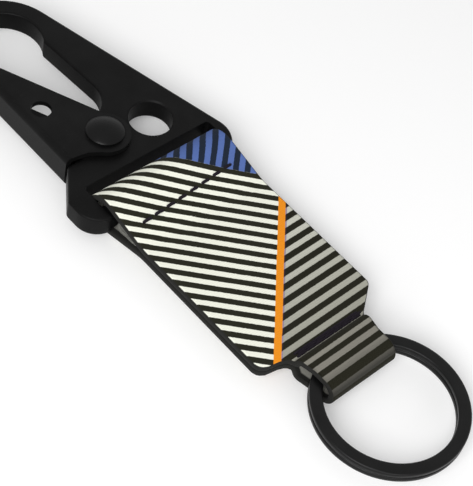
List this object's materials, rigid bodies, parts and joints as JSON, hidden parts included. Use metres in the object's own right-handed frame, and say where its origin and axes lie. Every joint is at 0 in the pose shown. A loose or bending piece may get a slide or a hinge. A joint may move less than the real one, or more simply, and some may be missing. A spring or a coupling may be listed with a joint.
{
  "type": "key clip",
  "caption": "Key clip: black sprung-gate hook, short doubled webbing strap with striped face, and a split ring in a sewn loop.",
  "frame": {"origin": "centre of the clip's box in X and Y, at its lowest point, which is the rivet's tail under the hook", "axes": "+Y along the clip from the ring to the hook's nose, +Z out of the striped face, +X across the strap to the hook's solid spine"},
  "size_m": [0.0386, 0.1364, 0.0105],
  "materials": {
    "hook_black": "satin black coating over a die-cast plate, faintly grainy",
    "gate_black": "satin black coating over folded sheet",
    "rivet_black": "semi-gloss black dome",
    "spring_steel": "plain spring wire",
    "strap_cloth": "flat woven webbing, striped face, black edges",
    "loop_cloth": "the same webbing, grey and black stripes",
    "tail_cloth": "plain black webbing",
    "dark_thread": "polyester sewing thread",
    "ring_black": "satin black coating over spring steel, slightly worn"
  },
  "bodies": {
    "hook": {"hook_body": "hook_black", "gate_rivet": "rivet_black", "gate_spring": "spring_steel"},
    "gate": {"gate": "gate_black"},
    "strap": {"strap": "strap_cloth", "strap_tail": "tail_cloth", "seam_hook_needle": "dark_thread", "seam_hook_bobbin": "dark_thread", "seam_ring_needle": "dark_thread", "seam_ring_bobbin": "dark_thread"},
    "loop": {"ring_loop": "loop_cloth"},
    "ring": {"split_ring": "ring_black"}
  },
  "joints": [
    {"name": "gate_pivot", "type": "hinge", "parent": "hook", "child": "gate", "pos_m": [-0.00332, 0.02417, 0.0049], "axis": [0, 0, -1], "range_deg": [0, 30], "stiffness_Nm_per_rad": 0.1, "springref_deg": -20.05, "deforming": ["gate_spring"]},
    {"name": "strap_swing", "type": "hinge", "parent": "hook", "child": "strap", "pos_m": [0.00108, 0.00942, 0.0049], "axis": [1, 0, 0], "range_deg": [-110, 110]},
    {"name": "loop_bend", "type": "hinge", "parent": "strap", "child": "loop", "pos_m": [0.00108, -0.03843, 0.0049], "axis": [1, 0, 0], "range_deg": [-90, 90], "deforming": ["ring_loop"]},
    {"name": "ring_spin", "type": "hinge", "parent": "loop", "child": "ring", "pos_m": [0.00083, -0.05323, 0.0049], "axis": [0, 0, 1], "continuous": true}
  ]
}
